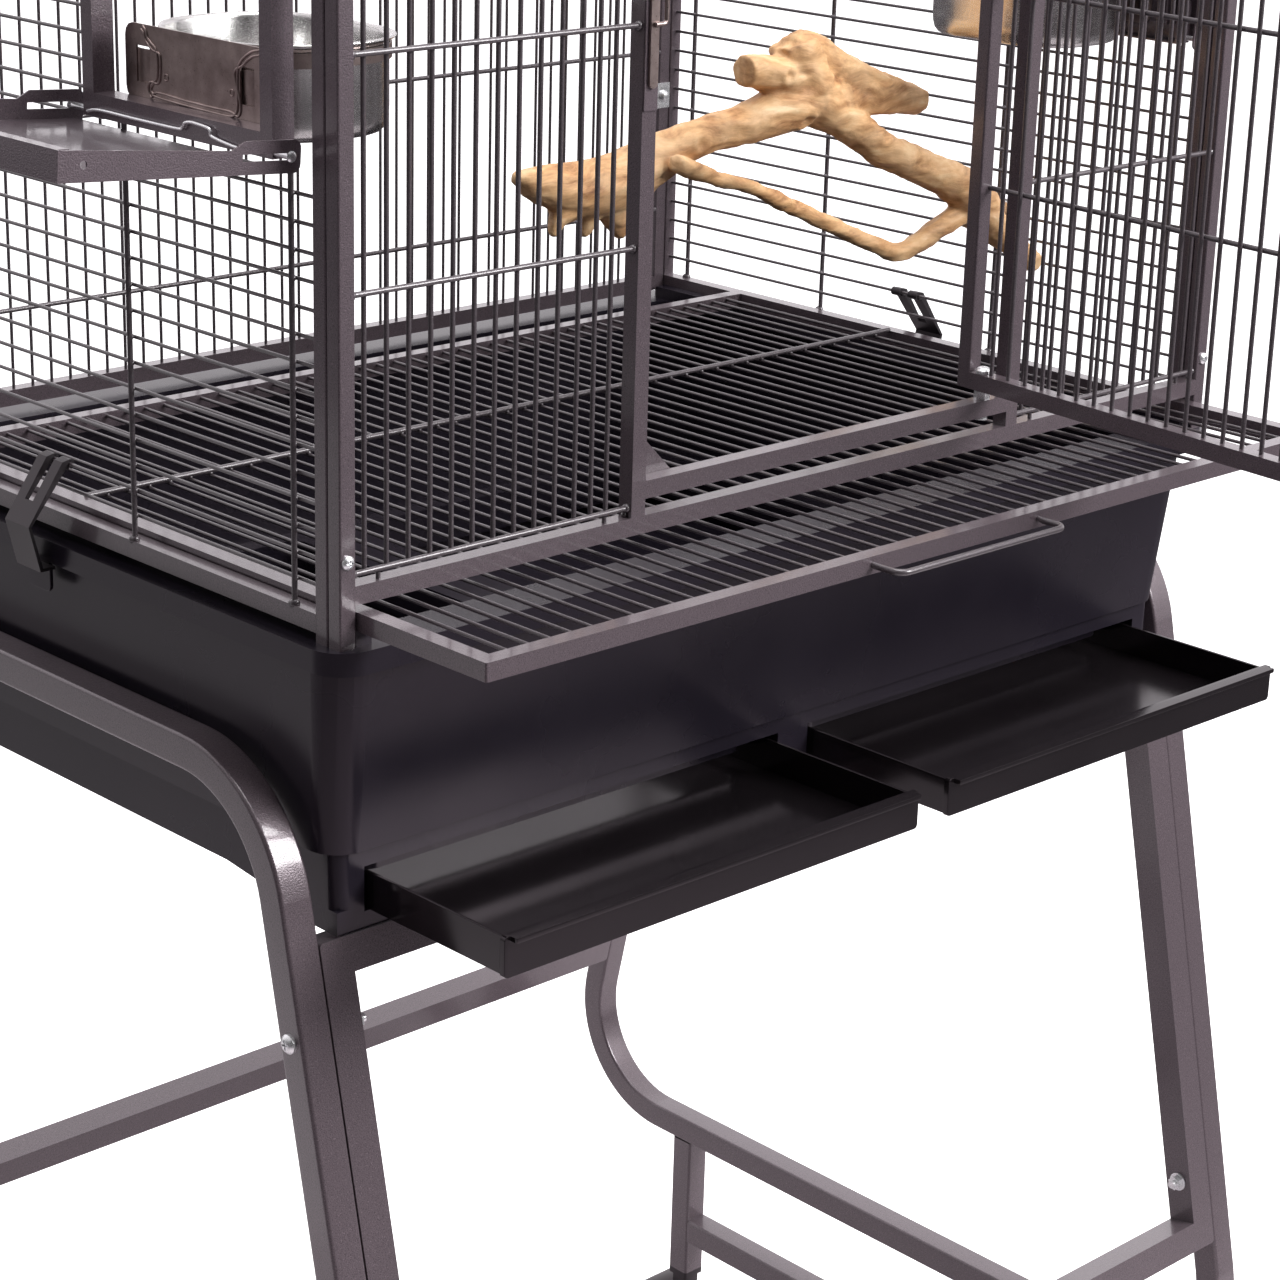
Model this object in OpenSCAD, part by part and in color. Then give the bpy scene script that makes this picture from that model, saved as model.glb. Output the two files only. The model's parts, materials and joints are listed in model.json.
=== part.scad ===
/* Bird cage on a bent-tube stand.
   Everything is laid out from the cage's front left corner: X runs right,
   Y runs back, Z runs up from the underside of the front bottom rail.
   place() then moves it so that Z = 0 is the floor. */

/* [Cage] */
// Outside width of the cage body
cage_w = 845; // [800:5:900]
// Outside depth of the cage body
cage_d = 600; // [590:1:610]
// Height of the cage body above the front bottom rail
cage_h = 751; // [740:1:780]
// Square tube of the cage panels
tube = 12; // [11:0.5:13]
// Wall of the cage tube
tube_wall = 1; // [0.8:0.1:1.5]
// Front bar diameter
bar_d = 3.2; // [2.6:0.2:3.6]
// Thin wire diameter on the side, rear and roof panels
wire_d = 2.4; // [2:0.2:3]
// Thick weld bar diameter
weld_d = 3.6; // [3:0.2:4]
// Spacing of the front, rear and roof bars
bar_pitch = 16.92; // [16.8:0.02:17]
// Spacing of the side panel wires
side_pitch = 16.71; // [16.6:0.01:16.8]

/* [Door] */
// How far the front door stands open
door_open = 85; // [0:5:90]
// Gap round the door leaf
door_gap = 1.6; // [1:0.2:2.4]

/* [Tub] */
// Depth of the moulded tub from its rim to the start of the drawer housing
tub_drop = 143; // [135:1:150]
// Wall of the tub
tub_wall = 3; // [2.5:0.5:3.5]
// How far the drawers stand pulled out
drawer_out = 143; // [0:1:150]
// How far the floor grate stands pulled out
grate_out = 94; // [0:1:110]

/* [Stand] */
// Square tube of the stand
stand_tube = 24; // [22:1:25]
// Wall of the stand tube
stand_wall = 1.2; // [1:0.1:2]
// Lean of the legs from upright
lean = 12.4; // [11:0.1:13]
// Bend radius on the tube centre line
bend_r = 94; // [88:1:98]
// Wheel diameter
wheel_d = 50; // [48:1:52]

/* [Feeders] */
// Tilt of the open landing tray above level
tray_tilt = 4; // [0:1:10]

/* [Hidden] */

e = 0.01;
floor_z = -1088;
org = [cage_w / 2 - 63.12, 178.548, floor_z];   // middle of the whole part as drawn
W = cage_w;
D = cage_d;
H = cage_h;
T = tube;
S = stand_tube;
yc = 296;                 // middle of the stand, front to back
grey = [0.35, 0.32, 0.34];
dark = [0.16, 0.15, 0.17];
zinc = [0.75, 0.76, 0.78];

module place() translate(-org) children();

// ---- shared shapes -------------------------------------------------------
// square outline with three-facet rounded corners, centred
function rsq(a, b, r, n = 3) = [for (q = [0:3], i = [0:n])
    let (t = q * 90 + i * 90 / n, cx = (q == 0 || q == 3 ? 1 : -1) * (a / 2 - r), cy = (q < 2 ? 1 : -1) * (b / 2 - r))
    [cx + r * cos(t), cy + r * sin(t)]];

module tube_profile(w, t) {
    difference() {
        polygon(rsq(w, w, w * 0.11));
        square(w - 2 * t, center = true);
    }
}
// tube from p to q in a plane, lying across the plane's normal
// its ends sleeve the bends by a hair, so that the loop closes into one tube
module run2(p, q, w, t) {
    L = norm(q - p);
    a = atan2(q[1] - p[1], q[0] - p[0]);
    translate([p[0], p[1], 0]) rotate([0, 0, a]) translate([-0.3, 0, 0]) rotate([0, 90, 0]) rotate([0, 0, 90])
        linear_extrude(L + 0.6) tube_profile(w + 0.02, t + 0.02);
}
module bend2(c, R, a0, da, w, t)
    translate([c[0], c[1], 0]) rotate([0, 0, a0]) rotate_extrude(angle = da, $fn = 96) translate([R, 0]) tube_profile(w, t);
// straight tubes along the axes, from a point on the centre line
module tube_x(p, L, w, t) translate(p) rotate([90, 0, 90]) linear_extrude(L) tube_profile(w, t);
module tube_y(p, L, w, t) translate(p) rotate([-90, 0, 0]) linear_extrude(L) tube_profile(w, t);
module tube_z(p, L, w, t) translate(p) linear_extrude(L) tube_profile(w, t);
module rod_x(p, L, d) translate(p) rotate([0, 90, 0]) cylinder(h = L, d = d, $fn = 24);
module rod_y(p, L, d) translate(p) rotate([-90, 0, 0]) cylinder(h = L, d = d, $fn = 24);
module rod_z(p, L, d) translate(p) cylinder(h = L, d = d, $fn = 24);
// closed ring of tube, outside a by b, lying in XY, centred on z = 0, hollow inside
module tube_ring(a, b, w, t) {
    difference() {
        translate([0, 0, -w / 2]) linear_extrude(w) difference() {
            polygon(rsq(a, b, w * 0.11));
            square([a - 2 * w, b - 2 * w], center = true);
        }
        translate([0, 0, -w / 2 + t]) linear_extrude(w - 2 * t) difference() {
            square([a - 2 * t, b - 2 * t], center = true);
            square([a - 2 * w + 2 * t, b - 2 * w + 2 * t], center = true);
        }
    }
}
// row of rods that just meet the rods they are welded to
module pan_head(d, h) rotate_extrude($fn = 32) polygon([[0, 0], [d / 2, 0], [d / 2, h * 0.45], [d * 0.36, h * 0.85], [d * 0.2, h], [0, h]]);

// ---- stand ---------------------------------------------------------------
ztop = -123;              // centre of the top rail
zbot = -854;              // centre of the lower rail
yfront_top = 46.2;        // front face line of the legs at the top rail's upper face
function leg_y(z) = yfront_top - tan(lean) * (-111 - z) + S / 2 / cos(lean);  // leg centre line
top_f = [leg_y(ztop) - yc, ztop];
bot_f = [leg_y(zbot) - yc, zbot];
k_top = bend_r * tan((90 - lean) / 2);
k_bot = bend_r * tan((90 + lean) / 2);
dleg = [-sin(lean), -cos(lean)];

module side_loop() {
    p1 = top_f + [k_top, 0];
    p2 = top_f + dleg * k_top;
    p3 = bot_f - dleg * k_bot;
    p4 = bot_f + [k_bot, 0];
    for (m = [0, 1]) mirror([m, 0, 0]) {
        run2(p2, p3, S, stand_wall);
        bend2([p1[0], ztop - bend_r], bend_r, 90, 90 - lean, S, stand_wall);
        bend2([p4[0], zbot + bend_r], bend_r, 180 - lean, 90 + lean, S, stand_wall);
    }
    run2(p1, [-p1[0], p1[1]], S, stand_wall);
    run2(p4, [-p4[0], p4[1]], S, stand_wall);
}
x_left = -1 - S / 2;      // centre planes of the two side frames
x_right = W + 1 + S / 2;
module side_frame_at(x) color(grey) difference() {
    translate([x, yc, 0]) rotate([90, 0, 90]) side_loop();
    front_at() bolt_holes();
    rear_at() bolt_holes();
}
module stand_side_frame_left() side_frame_at(x_left);
module stand_side_frame_right() side_frame_at(x_right);

foot_y = [yc - 244.5, yc + 244.5];
post_top = zbot - S / 2;
post_bot = -1010;
strut_z = -963;
module foot_frame_at(x) color(grey) {
    difference() {
        union() {
            for (y = foot_y) tube_z([x, y, post_bot], post_top - post_bot, S, stand_wall);
            tube_y([x, foot_y[0] + S / 2, strut_z], foot_y[1] - foot_y[0] - S, S, stand_wall);
        }
    }
}
module stand_foot_frame_left() foot_frame_at(x_left);
module stand_foot_frame_right() foot_frame_at(x_right);

// rectangular frames between the legs, leaning with them
fr_up = -224.6;           // upper front edge of the top cross tube
fr_len = 493;             // along the leg
fr_o = fr_up - S / 2 * sin(lean);
module cross_frame() {
    // origin on the leg centre line, level with the frame's upper edge
    translate([W / 2, 0, 0]) rotate([90, 0, 0])
        translate([0, -fr_len / 2, 0]) tube_ring(W + 2 - 0.2, fr_len, S, stand_wall);
}
function bolt_s() = [58.5, fr_len - 58.5];
module front_at() translate([0, leg_y(fr_o), fr_o]) rotate([-lean, 0, 0]) children();
module rear_at() translate([0, 2 * yc, 0]) mirror([0, 1, 0]) front_at() children();
module bolt_holes() for (s = bolt_s()) translate([-30, 0, -s]) rotate([0, 90, 0]) cylinder(h = W + 60, d = 6.4, $fn = 32);
module stand_front_frame() color(grey) front_at() difference() { cross_frame(); bolt_holes(); }
module stand_rear_frame() color(grey) rear_at() difference() { cross_frame(); bolt_holes(); }
module one_bolt() {
    // head outside the left side frame, shank ends at the frame's face
    translate([-1 - S - 0.05, 0, 0]) rotate([0, -90, 0]) difference() {
        pan_head(13, 4.6);
        for (a = [0, 90]) rotate([0, 0, a]) translate([-3.4, -0.7, 3]) cube([6.8, 1.4, 3]);
    }
    translate([-1 - S - 0.06, 0, 0]) rotate([0, 90, 0]) cylinder(h = 2 * S + 10, d = 6, $fn = 32);
}
module one_nut() {
    translate([-1 + S + 0.15, 0, 0]) rotate([0, 90, 0]) {
        difference() {
            cylinder(h = 1.2, d = 15, $fn = 32);
            translate([0, 0, -1]) cylinder(h = 4, d = 6.3, $fn = 32);
        }
        translate([0, 0, 1.25]) difference() {
            cylinder(h = 5, d = 11.5, $fn = 6);
            translate([0, 0, -1]) cylinder(h = 8, d = 6.1, $fn = 32);
        }
    }
}
module eight() for (m = [0, 1]) translate([m * W, 0, 0]) mirror([m, 0, 0]) for (s = bolt_s()) {
    front_at() translate([0, 0, -s]) children();
    rear_at() translate([0, 0, -s]) children();
}
module stand_bolts() color(zinc) eight() one_bolt();
module stand_nuts() color(zinc) eight() one_nut();

// casters: a collar plugs each foot post, a stem turns in it
collar_h = 18;
wheel_r = wheel_d / 2;
trail = 26;
axle_z = floor_z + wheel_r;
caster_xy = [[x_left, foot_y[0]], [x_right, foot_y[0]], [x_left, foot_y[1]], [x_right, foot_y[1]]];
module caster_sockets() color(dark) for (p = caster_xy) translate([p[0], p[1], post_bot]) difference() {
    union() {
        translate([0, 0, -collar_h]) linear_extrude(collar_h - 6) polygon(rsq(20, 20, 4));
        translate([0, 0, -6]) linear_extrude(6) polygon(rsq(S, S, 2.5));
        linear_extrude(20) square(S - 2 * stand_wall - 0.4, center = true);
    }
    translate([0, 0, -collar_h - 1]) cylinder(h = 60, d = 11, $fn = 48);
}
module caster_fork(p) color(dark) translate([p[0], p[1], 0]) {
    top = post_bot - collar_h - 0.6;
    translate([0, 0, top - 4]) cylinder(h = 34, d = 10.9, $fn = 48);
    difference() {
        union() {
            translate([0, 0, top - 9]) cylinder(h = 9, d = 24, $fn = 48);
            // hood over the two wheels
            intersection() {
                translate([-5, trail, axle_z]) rotate([0, 90, 0]) cylinder(h = 10, d = wheel_d + 6, $fn = 64);
                translate([-6, -40, axle_z - 3]) cube([12, 120, 60]);
            }
            translate([-5, -8, axle_z + 6]) cube([10, 24, top - 4 - axle_z - 6]);
            intersection() {
                difference() {
                    translate([-21.5, trail, axle_z]) rotate([0, 90, 0]) cylinder(h = 43, d = wheel_d + 7, $fn = 64);
                    translate([-30, trail, axle_z]) rotate([0, 90, 0]) cylinder(h = 60, d = wheel_d + 3, $fn = 64);
                }
                translate([-30, -40, axle_z + 4]) cube([60, 120, 60]);
            }
        }
        translate([-20, trail, axle_z]) rotate([0, 90, 0]) cylinder(h = 40, d = 8.1, $fn = 48);
        translate([-20, -60, top + 1]) cube([40, 160, 60]);
    }
}
module caster_wheel(p) color([0.1, 0.1, 0.1]) translate([p[0], p[1] + trail, axle_z]) rotate([0, 90, 0]) {
    translate([0, 0, -19.5]) cylinder(h = 39, d = 8, $fn = 48);
    for (m = [0, 1]) mirror([0, 0, m]) translate([0, 0, 5.6]) rotate_extrude($fn = 64)
        polygon([[3, 0], [wheel_r - 3, 0], [wheel_r, 2], [wheel_r, 10], [wheel_r - 2.5, 13], [wheel_r - 8, 14.5], [wheel_r - 9, 13.5], [3, 13.5]]);
}
module caster_fork_front_left() caster_fork(caster_xy[0]);
module caster_fork_front_right() caster_fork(caster_xy[1]);
module caster_fork_rear_left() caster_fork(caster_xy[2]);
module caster_fork_rear_right() caster_fork(caster_xy[3]);
module caster_wheel_front_left() caster_wheel(caster_xy[0]);
module caster_wheel_front_right() caster_wheel(caster_xy[1]);
module caster_wheel_rear_left() caster_wheel(caster_xy[2]);
module caster_wheel_rear_right() caster_wheel(caster_xy[3]);

// ---- tub with its drawer housing ----------------------------------------
rim_z = -27;              // top of the rim
rim_b = -42;              // bottom of the rim band
wall_b = -170;            // bottom of the tapered walls
hous_b = -209.5;          // underside of the housing
foot_b = -224.4;          // underside of the front and rear feet
rx = 10;                  // rim overhang past the cage at the sides
ry = 8;
wx = 7.6;                 // wall inset at its bottom
wy = 19.2;
hx = 14.4;                // housing inset
hy = 23;
module slab(x0, y0, x1, y1, z0, h, r, n = 8) translate([(x0 + x1) / 2, (y0 + y1) / 2, z0]) linear_extrude(h) polygon(rsq(x1 - x0, y1 - y0, r, n));
module taper(i, z0, z1) hull() {
    slab(i, 4 + i, W - i, D - 4 - i, z1 - e, e, 26);
    slab(wx + i, wy + i, W - wx - i, D - wy - i, z0, e, 22);
}
ch_x = [[38.5, 405], [W - 405, W - 38.5]];   // the two drawer channels
ledge = -213;
module tub() color(dark) {
    difference() {
        union() {
            slab(-rx, -ry, W + rx, D + ry, rim_b, rim_z - rim_b, 24);
            taper(0, wall_b, rim_z - 2);
            slab(hx, hy, W - hx, D - hy, hous_b, wall_b - hous_b + 1, 10);
            // feet under the front and the back, with a sloping heel
            for (m = [0, 1]) translate([0, m * D, 0]) mirror([0, m, 0]) translate([hx, 0, 0]) rotate([90, 0, 90])
                linear_extrude(W - 2 * hx) polygon([[hy, hous_b + 1], [hy, foot_b], [62, foot_b], [100, -213.6], [138, hous_b], [138, hous_b + 1]]);
            // floors of the drawer channels
            for (c = ch_x) translate([c[0] - 3, 55, ledge - 3]) cube([c[1] - c[0] + 6, D - 110, 8]);
            // beads on the deck that carry the sliding grate
            for (x = [13.2, W - 25.2]) translate([x, 2, rim_z - 1]) cube([12, D - 18, 10.85]);
        }
        // channel under the rim, outside the wall
        difference() {
            slab(-rx + tub_wall, -ry + tub_wall, W + rx - tub_wall, D + ry - tub_wall, rim_b - 1, rim_z - tub_wall - rim_b + 1, 21);
            taper(0, wall_b, rim_z - tub_wall + 1);
        }
        // inside of the walls, from the floor up to the deck, and the opening in the deck
        taper(tub_wall, wall_b + tub_wall, rim_z - tub_wall);
        slab(28, 28, W - 28, D - 28, rim_z - 5, 8, 14);
        for (x = [15.2, W - 23.2]) translate([x, 4, rim_z - tub_wall - 1]) cube([8, D - 22, tub_wall + 8]);
        // drawer channels: tunnel, recess for the front flange, opening above
        for (c = ch_x) {
            translate([c[0], 36, ledge]) cube([c[1] - c[0], D - hy - 3 - 36, wall_b - tub_wall - ledge]);
            translate([c[0] - 2.5, -20, ledge]) cube([c[1] - c[0] + 5, 58, 30.5]);
            slab(c[0] + 17, 49, c[1] - 9.5, D - 41, wall_b - 5, 10, 12);
        }
        // hollow feet
        for (y = [hy + 3, D - hy - 41], i = [0:7]) translate([hx + 3 + i * 101.6, y, foot_b - 1]) cube([98.6, 38, -foot_b + ledge - 2]);
        // side pockets, and the waist between the two channels
        for (x = [hx + 3, W - ch_x[0][0] + 3]) translate([x, hy + 3, -240]) cube([ch_x[0][0] - hx - 6, D - 2 * hy - 6, 240 + wall_b - 3]);
        translate([ch_x[0][1] + 3, 41, -240]) cube([ch_x[1][0] - ch_x[0][1] - 6, D - 82, 240 + wall_b - 3]);
    }
    // lips that hang into the drawers
    for (c = ch_x) difference() {
        slab(c[0] + 14, 46, c[1] - 6.5, D - 38, -199, 27, 14);
        slab(c[0] + 17, 49, c[1] - 9.5, D - 41, -200, 30, 12);
    }
}

// ---- drawers ---------------------------------------------------------
dz = ledge + 0.3;         // underside of the drawers
drawer_l = D - hy - 3 - 4 - 33.5;
module drawer_at(x0, x1) color([0.14, 0.13, 0.15]) {
    y0 = 33 - drawer_out;
    difference() {
        union() {
            translate([x0, y0 + 1, dz]) cube([x1 - x0, drawer_l, 25.5]);
            // front flange with a pull lip, wider than the body
            translate([(x0 + x1) / 2, y0, dz + 13.8]) rotate([-90, 0, 0]) linear_extrude(4.4) polygon(rsq(x1 - x0 + 7, 27.6, 3));
            translate([x0 + 1, y0 - 6, dz + 24.2]) cube([x1 - x0 - 2, 8, 3.4]);
        }
        translate([x0 + 2.4, y0 + 4.4, dz + 2.4]) cube([x1 - x0 - 4.8, drawer_l - 5.8, 60]);
        // the back wall is low, so that it passes under the tub's lips
        translate([x0 - 1, y0 + drawer_l - 4, dz + 12]) cube([x1 - x0 + 2, 20, 60]);
    }
}
module drawer_left() drawer_at(ch_x[0][0] + 1.2, ch_x[0][1] - 1.2);
module drawer_right() drawer_at(ch_x[1][0] + 1.2, ch_x[1][1] - 1.2);

// ---- sliding floor grate ---------------------------------------------
gz = -10.8;               // centre of the grate's tube
gl = 607;
gy0 = D - 16 - gl - grate_out;
gx0 = 13.2;
module grate_frame() color(grey) translate([W / 2, gy0 + gl / 2, gz]) tube_ring(W - 2 * gx0, gl, T, tube_wall);
module grate_wires() color(grey) {
    n = floor((W - 2 * gx0 - 2 * T) / 16.8) - 1;
    p = (W - 2 * gx0 - 2 * T) / (n + 1);
    for (i = [1:n]) rod_y([gx0 + T + i * p, gy0 + T + 0.05, gz + 3.2], gl - 2 * T - 0.1, 2.6);
    // one cross wire, welded on top of them
    rod_x([gx0 + T + 0.05, gy0 + 421, gz + 3.2 + (2.6 + 4) / 2 + weld_gap], W - 2 * gx0 - 2 * T - 0.1, 4);
}
module grate_handle() color(grey) {
    x0 = 340; x1 = 505;
    yb = gy0 - 0.05; r = 8; d = 4.5;
    for (m = [0, 1]) translate([m * (x0 + x1), 0, 0]) mirror([m, 0, 0]) {
        rod_y([x0, yb - 16, gz], 16, d);
        translate([x0 + r, yb - 16, gz]) rotate([0, 0, 180]) rotate_extrude(angle = 90, $fn = 48) translate([r, 0]) circle(d = d, $fn = 24);
    }
    rod_x([x0 + r, yb - 16 - r, gz], x1 - x0 - 2 * r, d);
}

// ---- cage: front panel --------------------------------------------------
jl = 236.7;               // left edge of the left jamb
jr = 607.5;               // left edge of the right jamb
sill_z = 23;
lintel_z = 595;
weld_gap = 0.02;          // wires are drawn as separate solids that all but touch
cross_z = [187, 325, 463, 601];
module front_frame() color(grey) {
    c = T / 2;
    difference() {
        union() {
            translate([0, 0, rim_z]) translate([c, c, 0]) linear_extrude(H - rim_z) polygon(rsq(T, T, 1.3));
            translate([W - c, c, rim_z]) linear_extrude(H - rim_z) polygon(rsq(T, T, 1.3));
            translate([T - 1, 0, 0]) cube([W - 2 * T + 2, T, T]);
            translate([T - 1, 0, H - T]) cube([W - 2 * T + 2, T, T]);
            for (x = [jl, jr]) translate([x, 0, T - 1]) cube([T, T, H - 2 * T + 2]);
            translate([jl + T - 1, 0, sill_z]) cube([jr - jl - T + 2, T, T]);
            translate([jl + T - 1, 0, lintel_z]) cube([jr - jl - T + 2, T, T]);
            // gusset behind the leaf's free corner: it stiffens the sill and stops the leaf
            translate([jl + T, 13.8, sill_z + T]) rotate([90, 0, 0]) {
                linear_extrude(1.5) polygon([[-7, -7], [33.5, -7], [33.5, 0], [0, 33.5], [-7, 33.5]]);
                linear_extrude(3) polygon([[-7, -7], [30, -7], [30, -0.5], [-0.5, -0.5], [-0.5, 30], [-7, 30]]);
            }
        }
        // pivot bolt holes
        translate([piv_x, piv_y, sill_z - 5]) cylinder(h = T + 10, d = 5.2, $fn = 32);
        translate([piv_x, piv_y, lintel_z - 5]) cylinder(h = T + 10, d = 5.2, $fn = 32);
        // panel screw holes
        for (x = [c - 0.6, W - c + 0.6], z = [28, 690]) translate([x, -5, z]) rotate([-90, 0, 0]) cylinder(h = 30, d = 4.4, $fn = 32);
        // bores of the tubes
        for (x = [c, W - c]) translate([x, c, rim_z + 1]) linear_extrude(H - rim_z - 2) square(T - 2, center = true);
        for (x = [jl + c, jr + c]) translate([x, c, T + 0.5]) linear_extrude(H - 2 * T - 1) square(T - 2, center = true);
        for (z = [0, H - T]) translate([T + 0.5, 1, z + 1]) cube([W - 2 * T - 1, T - 2, T - 2]);
        for (z = [sill_z, lintel_z]) translate([jl + T + 0.5, 1, z + 1]) cube([jr - jl - T - 1, T - 2, T - 2]);
    }
}
bars_l = [for (i = [0:10]) 24.2 + bar_pitch * i, 207.6, 220.8];
bars_r = [633, for (i = [0:10]) 647 + 16.2 * i, 823];
by = 7.6;                 // bar line, measured from the front face
module front_bars(xs, x0, x1) color(grey) {
    for (x = xs) rod_z([x, by, 18.2], H - T - 0.05 - 18.2, bar_d);
    // cross wires in front of the bars, welded to them
    for (z = concat([18.2], cross_z)) rod_x([x0 + 0.05, by - (bar_d + weld_d) / 2 - weld_gap, z], x1 - x0 - 0.1, weld_d);
    for (x = [x0 + 20, x1 - 20]) rod_z([x, by - (bar_d + weld_d) / 2 - weld_gap, T + 0.03], 18.2 - weld_d / 2 - T - 0.05, 3);
}
module front_bars_left() front_bars(bars_l, T, jl);
module front_bars_right() front_bars(bars_r, jr + T, W - T);
module front_bars_over_door() color(grey) {
    n = 23;
    p = (jr - jl - T) / (n + 1);
    for (i = [1:n]) rod_z([jl + T + i * p, by, lintel_z + T + 0.05], H - T - lintel_z - T - 0.1, bar_d);
    rod_x([jl + T + 0.05, by - (bar_d + weld_d) / 2 - weld_gap, 672], jr - jl - T - 0.1, weld_d);
}

// ---- cage: side panels ---------------------------------------------------
sy0 = T + 0.6;
sy1 = D - 0.4;
srail = -21;              // underside of the side panels' bottom rail
fo_y = [48.5, 240];       // feeder frame, outside of its uprights
fo_z = [261.5, 440];      // and its lower and upper faces
side_bars_y = [47, 214, 404, 568];
module side_frame_geo() color(grey) difference() {
    union() {
        for (y = [sy0, sy1 - T]) translate([0, y, rim_z]) translate([T / 2, T / 2, 0]) linear_extrude(H - rim_z) polygon(rsq(T, T, 1.3));
        for (z = [srail, H - T]) translate([0, sy0 + T - 1, z]) cube([T, sy1 - sy0 - 2 * T + 2, T]);
    }
    for (y = [sy0, sy1 - T]) translate([T / 2, y + T / 2, rim_z + 1]) linear_extrude(H - rim_z - 2) square(T - 2, center = true);
    for (z = [srail, H - T]) translate([1, sy0 + T + 0.5, z + 1]) cube([T - 2, sy1 - sy0 - 2 * T - 1, T - 2]);
    // holes for the rear panel's bolts
    for (z = [20, 700]) translate([-5, sy1 - T / 2, z]) rotate([0, 90, 0]) cylinder(h = 30, d = 4.4, $fn = 32);
    for (z = [28, 690]) translate([T / 2 - 0.6, sy0 - 5, z]) rotate([-90, 0, 0]) cylinder(h = 10, d = 4.4, $fn = 32);
}
wx_in = 5.2;              // plane of the thin side wires
wr = wire_d / 2;
bar_x = wx_in - (wire_d + weld_d) / 2 - weld_gap;
module side_low_geo() color(grey) {
    a = sy0 + T + 0.05;
    b = sy1 - T - 0.05;
    for (k = [0:14]) rod_y([wx_in, a, 7.3 + side_pitch * k], b - a, wire_d);
    for (y = side_bars_y) rod_z([bar_x, y, srail + T + 0.05], fo_z[0] - 1.5 - srail - T, weld_d);
}
module side_high_geo() color(grey) {
    a = sy0 + T + 0.05;
    b = sy1 - T - 0.05;
    for (k = [15:43]) {
        z = 7.3 + side_pitch * k;
        if (z < fo_z[1] + 4) {
            rod_y([wx_in, fo_y[1] + 0.05, z], b - fo_y[1] - 0.05, wire_d);
        }
        else if (z < H - T - 2) rod_y([wx_in, a, z], b - a, wire_d);
    }
    for (y = [404, 568]) rod_z([bar_x, y, fo_z[0] - 1.4], H - T - fo_z[0] + 1.3, weld_d);
    for (y = [47, 214]) rod_z([bar_x, y, fo_z[1] + 0.1], H - T - fo_z[1] - 0.15, weld_d);
}
module right_side() translate([W, 0, 0]) mirror([1, 0, 0]) children();
module side_frame_left() side_frame_geo();
module side_frame_right() right_side() side_frame_geo();
module side_wires_left_low() side_low_geo();
module side_wires_left_high() side_high_geo();
module side_wires_right_low() right_side() side_low_geo();
module side_wires_right_high() right_side() side_high_geo();

// ---- cage: rear and roof panels -----------------------------------------
rx0 = T + 0.6;
module rear_frame() color(grey) difference() {
    union() {
        for (x = [rx0, W - rx0 - T]) translate([x + T / 2, sy1 - T / 2, srail]) linear_extrude(H - srail) polygon(rsq(T, T, 1.3));
        for (z = [srail, H - T]) translate([rx0 + T - 1, sy1 - T, z]) cube([W - 2 * rx0 - 2 * T + 2, T, T]);
    }
    for (x = [rx0, W - rx0 - T]) translate([x + T / 2, sy1 - T / 2, srail + 1]) linear_extrude(H - srail - 2) square(T - 2, center = true);
    for (z = [srail, H - T]) translate([rx0 + T + 0.5, sy1 - T + 1, z + 1]) cube([W - 2 * rx0 - 2 * T - 1, T - 2, T - 2]);
    for (z = [20, 700]) translate([rx0 - 5, sy1 - T / 2, z]) rotate([0, 90, 0]) cylinder(h = W, d = 4.4, $fn = 32);
}
module rear_bars() color(grey) {
    y = sy1 - T + 4;
    for (n = [1:46]) rod_z([18.4 + bar_pitch * n, y, srail + T + 0.05], H - 2 * T - srail - 0.1, wire_d);
    for (z = [52, 191, 329, 467, 605]) rod_x([rx0 + T + 0.05, y - (wire_d + weld_d) / 2 - weld_gap, z], W - 2 * rx0 - 2 * T - 0.1, weld_d);
}
module roof_frame() color(grey) translate([W / 2, (D - 0.4) / 2, H + 0.6 + T / 2]) tube_ring(W, D - 0.4, T, tube_wall);
module roof_bars() color(grey) {
    z = H + 0.6 + T / 2;
    for (n = [1:47]) rod_y([18.4 + bar_pitch * (n - 0.42), T + 0.05, z], D - 0.4 - 2 * T - 0.1, wire_d);
    for (y = [120, 240, 360, 480]) rod_x([T + 0.05, y, z - (wire_d + weld_d) / 2 - weld_gap], W - 2 * T - 0.1, weld_d);
}
// small clamps that tie the side panels to the rear panel
module panel_clamps() color(zinc) for (m = [0, 1]) translate([m * W, 0, 0]) mirror([m, 0, 0]) for (z = [153, 640]) {
    difference() {
        translate([13.2, sy1 - T - 1.25, z - 11]) cube([17, 1.2, 22]);
        translate([21, sy1 - T - 5, z]) rotate([-90, 0, 0]) cylinder(h = 10, d = 4.4, $fn = 32);
    }
    translate([21, sy1 - T - 1.3, z]) rotate([90, 0, 0]) pan_head(9, 4);
}
module panel_screws() color(zinc) {
    for (x = [T / 2 - 0.6, W - T / 2 + 0.6], z = [28, 690]) translate([x, -0.02, z]) rotate([90, 0, 0]) {
        difference() {
            pan_head(8.6, 3);
            for (a = [0, 90]) rotate([0, 0, a]) translate([-2.4, -0.5, 1.8]) cube([4.8, 1, 3]);
        }
        translate([0, 0, -16]) cylinder(h = 16, d = 4, $fn = 32);
    }
    for (z = [20, 700], m = [0, 1]) translate([m * W, sy1 - T / 2, z]) mirror([m, 0, 0]) rotate([0, -90, 0]) {
        translate([0, 0, 0.02]) pan_head(8.6, 3);
        translate([0, 0, -30]) cylinder(h = 30, d = 4, $fn = 32);
    }
}

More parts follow.
